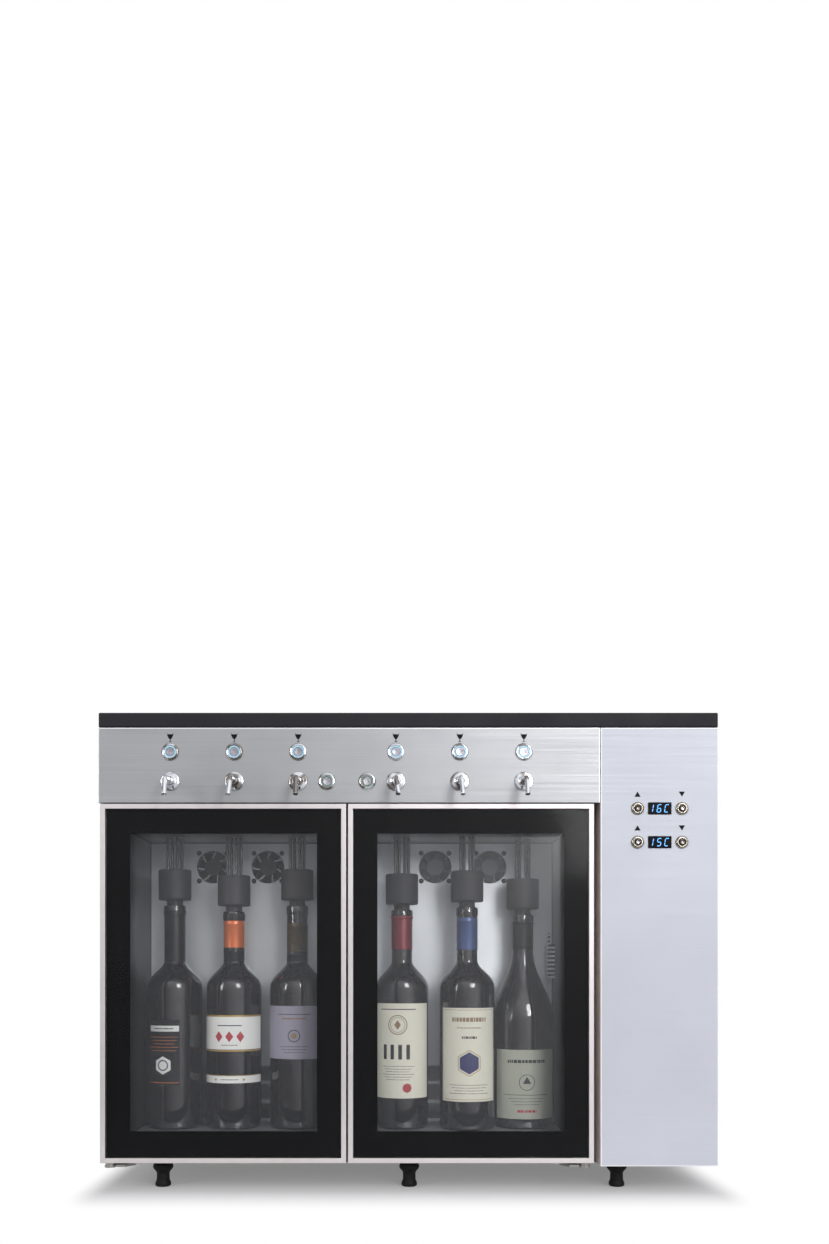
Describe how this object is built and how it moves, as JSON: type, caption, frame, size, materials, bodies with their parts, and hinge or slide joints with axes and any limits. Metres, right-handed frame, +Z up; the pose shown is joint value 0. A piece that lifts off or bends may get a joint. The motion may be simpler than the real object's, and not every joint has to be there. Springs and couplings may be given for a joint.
{
  "type": "wine preservation dispenser",
  "caption": "Countertop cabinet that keeps opened wine under gas behind hinged glass doors and pours it through push-button spouts.",
  "frame": {"origin": "on the table, under the middle of the object's bounding box", "axes": "+X to the viewer's right along the front, +Y from front to back, +Z up"},
  "size_m": [0.8, 0.393, 0.62],
  "materials": {
    "worktop_black": "matte",
    "case_steel": "satin",
    "galvanised_steel": "satin",
    "fascia_steel": "satin",
    "panel_steel": "satin",
    "liner_steel": "satin",
    "foam": "matte",
    "bottle_glass": "gloss",
    "wine_dark": "gloss",
    "cap_black": "matte",
    "chrome": "polished",
    "ring_light": "gloss",
    "button_steel": "satin",
    "display_black": "gloss",
    "door_aluminium": "satin",
    "door_glass": "gloss",
    "gasket": "matte",
    "bracket_steel": "satin",
    "fan_plastic": "matte",
    "foot_rubber": "matte",
    "finned_aluminium": "satin",
    "valve_body": "satin",
    "manifold_aluminium": "satin",
    "compressor_black": "satin",
    "condenser_dark": "satin",
    "board_green": "satin",
    "fitting_black": "satin",
    "switch_red": "gloss",
    "probe_white": "satin",
    "hose_clear": "satin",
    "screw_steel": "satin",
    "glass_print": "satin",
    "label_paper": "matte",
    "foil": "satin",
    "print_ink": "matte",
    "blue_light": "gloss"
  },
  "bodies": {
    "cabinet": {"worktop": "worktop_black", "base_tray": "galvanised_steel", "side_panel_left": "case_steel", "side_panel_right": "case_steel", "back_panel": "galvanised_steel", "control_fascia": "fascia_steel", "tech_front_panel": "panel_steel", "partition_wall": "galvanised_steel", "chamber_liners": "liner_steel", "insulation": "foam", "fan_panels": "liner_steel", "bottles": "bottle_glass", "wine": "wine_dark", "spouts": "chrome", "button_bezels": "chrome", "light_rings": "ring_light", "display_modules": "display_black", "hinge_brackets": "bracket_steel", "fan_frames": "fan_plastic", "levelling_feet": "foot_rubber", "evaporators": "finned_aluminium", "wine_valves": "valve_body", "gas_manifold": "manifold_aluminium", "compressor": "compressor_black", "condenser": "condenser_dark", "control_electronics": "board_green", "rear_connections": "fitting_black", "temperature_probes": "probe_white", "wine_lines": "hose_clear", "panel_screws": "screw_steel"},
    "door_left": {"door_frame_left": "door_aluminium", "door_glass_left": "door_glass", "door_gasket_left": "gasket"},
    "door_right": {"door_frame_right": "door_aluminium", "door_glass_right": "door_glass", "door_gasket_right": "gasket"},
    "cap_1": {"bottle_cap_1": "cap_black"},
    "dispense_1": {"dispense_button_1": "button_steel"},
    "cap_2": {"bottle_cap_2": "cap_black"},
    "dispense_2": {"dispense_button_2": "button_steel"},
    "cap_3": {"bottle_cap_3": "cap_black"},
    "dispense_3": {"dispense_button_3": "button_steel"},
    "cap_4": {"bottle_cap_4": "cap_black"},
    "dispense_4": {"dispense_button_4": "button_steel"},
    "cap_5": {"bottle_cap_5": "cap_black"},
    "dispense_5": {"dispense_button_5": "button_steel"},
    "cap_6": {"bottle_cap_6": "cap_black"},
    "dispense_6": {"dispense_button_6": "button_steel"},
    "light_left": {"light_button_left": "button_steel"},
    "light_right": {"light_button_right": "button_steel"},
    "temp_1": {"temp_button_1": "chrome"},
    "fan_1": {"fan_rotor_1": "fan_plastic"},
    "temp_2": {"temp_button_2": "chrome"},
    "fan_2": {"fan_rotor_2": "fan_plastic"},
    "temp_3": {"temp_button_3": "chrome"},
    "fan_3": {"fan_rotor_3": "fan_plastic"},
    "temp_4": {"temp_button_4": "chrome"},
    "fan_4": {"fan_rotor_4": "fan_plastic"},
    "condenser_fan": {"condenser_fan_rotor": "fan_plastic"},
    "rocker": {"power_switch": "switch_red"}
  },
  "joints": [
    {"name": "door_left", "type": "hinge", "parent": "cabinet", "child": "door_left", "pos_m": [-0.3875, -0.1395, 0.27], "axis": [0, 0, -1], "range_deg": [0, 110]},
    {"name": "door_right", "type": "hinge", "parent": "cabinet", "child": "door_right", "pos_m": [0.2295, -0.1395, 0.27], "axis": [0, 0, 1], "range_deg": [0, 100]},
    {"name": "cap_lift_1", "type": "slide", "parent": "cabinet", "child": "cap_1", "axis": [0, 0, 1], "range_m": [0, 0.03], "deforming": ["wine_lines"]},
    {"name": "cap_lift_2", "type": "slide", "parent": "cabinet", "child": "cap_2", "axis": [0, 0, 1], "range_m": [0, 0.03], "deforming": ["wine_lines"]},
    {"name": "cap_lift_3", "type": "slide", "parent": "cabinet", "child": "cap_3", "axis": [0, 0, 1], "range_m": [0, 0.03], "deforming": ["wine_lines"]},
    {"name": "cap_lift_4", "type": "slide", "parent": "cabinet", "child": "cap_4", "axis": [0, 0, 1], "range_m": [0, 0.03], "deforming": ["wine_lines"]},
    {"name": "cap_lift_5", "type": "slide", "parent": "cabinet", "child": "cap_5", "axis": [0, 0, 1], "range_m": [0, 0.03], "deforming": ["wine_lines"]},
    {"name": "cap_lift_6", "type": "slide", "parent": "cabinet", "child": "cap_6", "axis": [0, 0, 1], "range_m": [0, 0.03], "deforming": ["wine_lines"]},
    {"name": "press_1", "type": "slide", "parent": "cabinet", "child": "dispense_1", "axis": [0, 1, 0], "range_m": [0, 0.0015], "stiffness_N_per_m": 800},
    {"name": "press_2", "type": "slide", "parent": "cabinet", "child": "dispense_2", "axis": [0, 1, 0], "range_m": [0, 0.0015], "stiffness_N_per_m": 800},
    {"name": "press_3", "type": "slide", "parent": "cabinet", "child": "dispense_3", "axis": [0, 1, 0], "range_m": [0, 0.0015], "stiffness_N_per_m": 800},
    {"name": "press_4", "type": "slide", "parent": "cabinet", "child": "dispense_4", "axis": [0, 1, 0], "range_m": [0, 0.0015], "stiffness_N_per_m": 800},
    {"name": "press_5", "type": "slide", "parent": "cabinet", "child": "dispense_5", "axis": [0, 1, 0], "range_m": [0, 0.0015], "stiffness_N_per_m": 800},
    {"name": "press_6", "type": "slide", "parent": "cabinet", "child": "dispense_6", "axis": [0, 1, 0], "range_m": [0, 0.0015], "stiffness_N_per_m": 800},
    {"name": "press_light_left", "type": "slide", "parent": "cabinet", "child": "light_left", "axis": [0, 1, 0], "range_m": [0, 0.0015], "stiffness_N_per_m": 800},
    {"name": "press_light_right", "type": "slide", "parent": "cabinet", "child": "light_right", "axis": [0, 1, 0], "range_m": [0, 0.0015], "stiffness_N_per_m": 800},
    {"name": "press_temp_1", "type": "slide", "parent": "cabinet", "child": "temp_1", "axis": [0, 1, 0], "range_m": [0, 0.001], "stiffness_N_per_m": 600},
    {"name": "press_temp_2", "type": "slide", "parent": "cabinet", "child": "temp_2", "axis": [0, 1, 0], "range_m": [0, 0.001], "stiffness_N_per_m": 600},
    {"name": "press_temp_3", "type": "slide", "parent": "cabinet", "child": "temp_3", "axis": [0, 1, 0], "range_m": [0, 0.001], "stiffness_N_per_m": 600},
    {"name": "press_temp_4", "type": "slide", "parent": "cabinet", "child": "temp_4", "axis": [0, 1, 0], "range_m": [0, 0.001], "stiffness_N_per_m": 600},
    {"name": "fan_spin_1", "type": "hinge", "parent": "cabinet", "child": "fan_1", "pos_m": [-0.2785, 0.0205, 0.436], "axis": [0, 1, 0], "continuous": true},
    {"name": "fan_spin_2", "type": "hinge", "parent": "cabinet", "child": "fan_2", "pos_m": [-0.1995, 0.0205, 0.436], "axis": [0, 1, 0], "continuous": true},
    {"name": "fan_spin_3", "type": "hinge", "parent": "cabinet", "child": "fan_3", "pos_m": [0.0415, 0.0205, 0.436], "axis": [0, 1, 0], "continuous": true},
    {"name": "fan_spin_4", "type": "hinge", "parent": "cabinet", "child": "fan_4", "pos_m": [0.1205, 0.0205, 0.436], "axis": [0, 1, 0], "continuous": true},
    {"name": "condenser_fan_spin", "type": "hinge", "parent": "cabinet", "child": "condenser_fan", "pos_m": [0.3241, 0.0735, 0.1287], "axis": [0, 1, 0], "continuous": true},
    {"name": "power_rocker", "type": "hinge", "parent": "cabinet", "child": "rocker", "pos_m": [0.3021, 0.1755, 0.11], "axis": [1, 0, 0], "range_deg": [0, 18]}
  ]
}
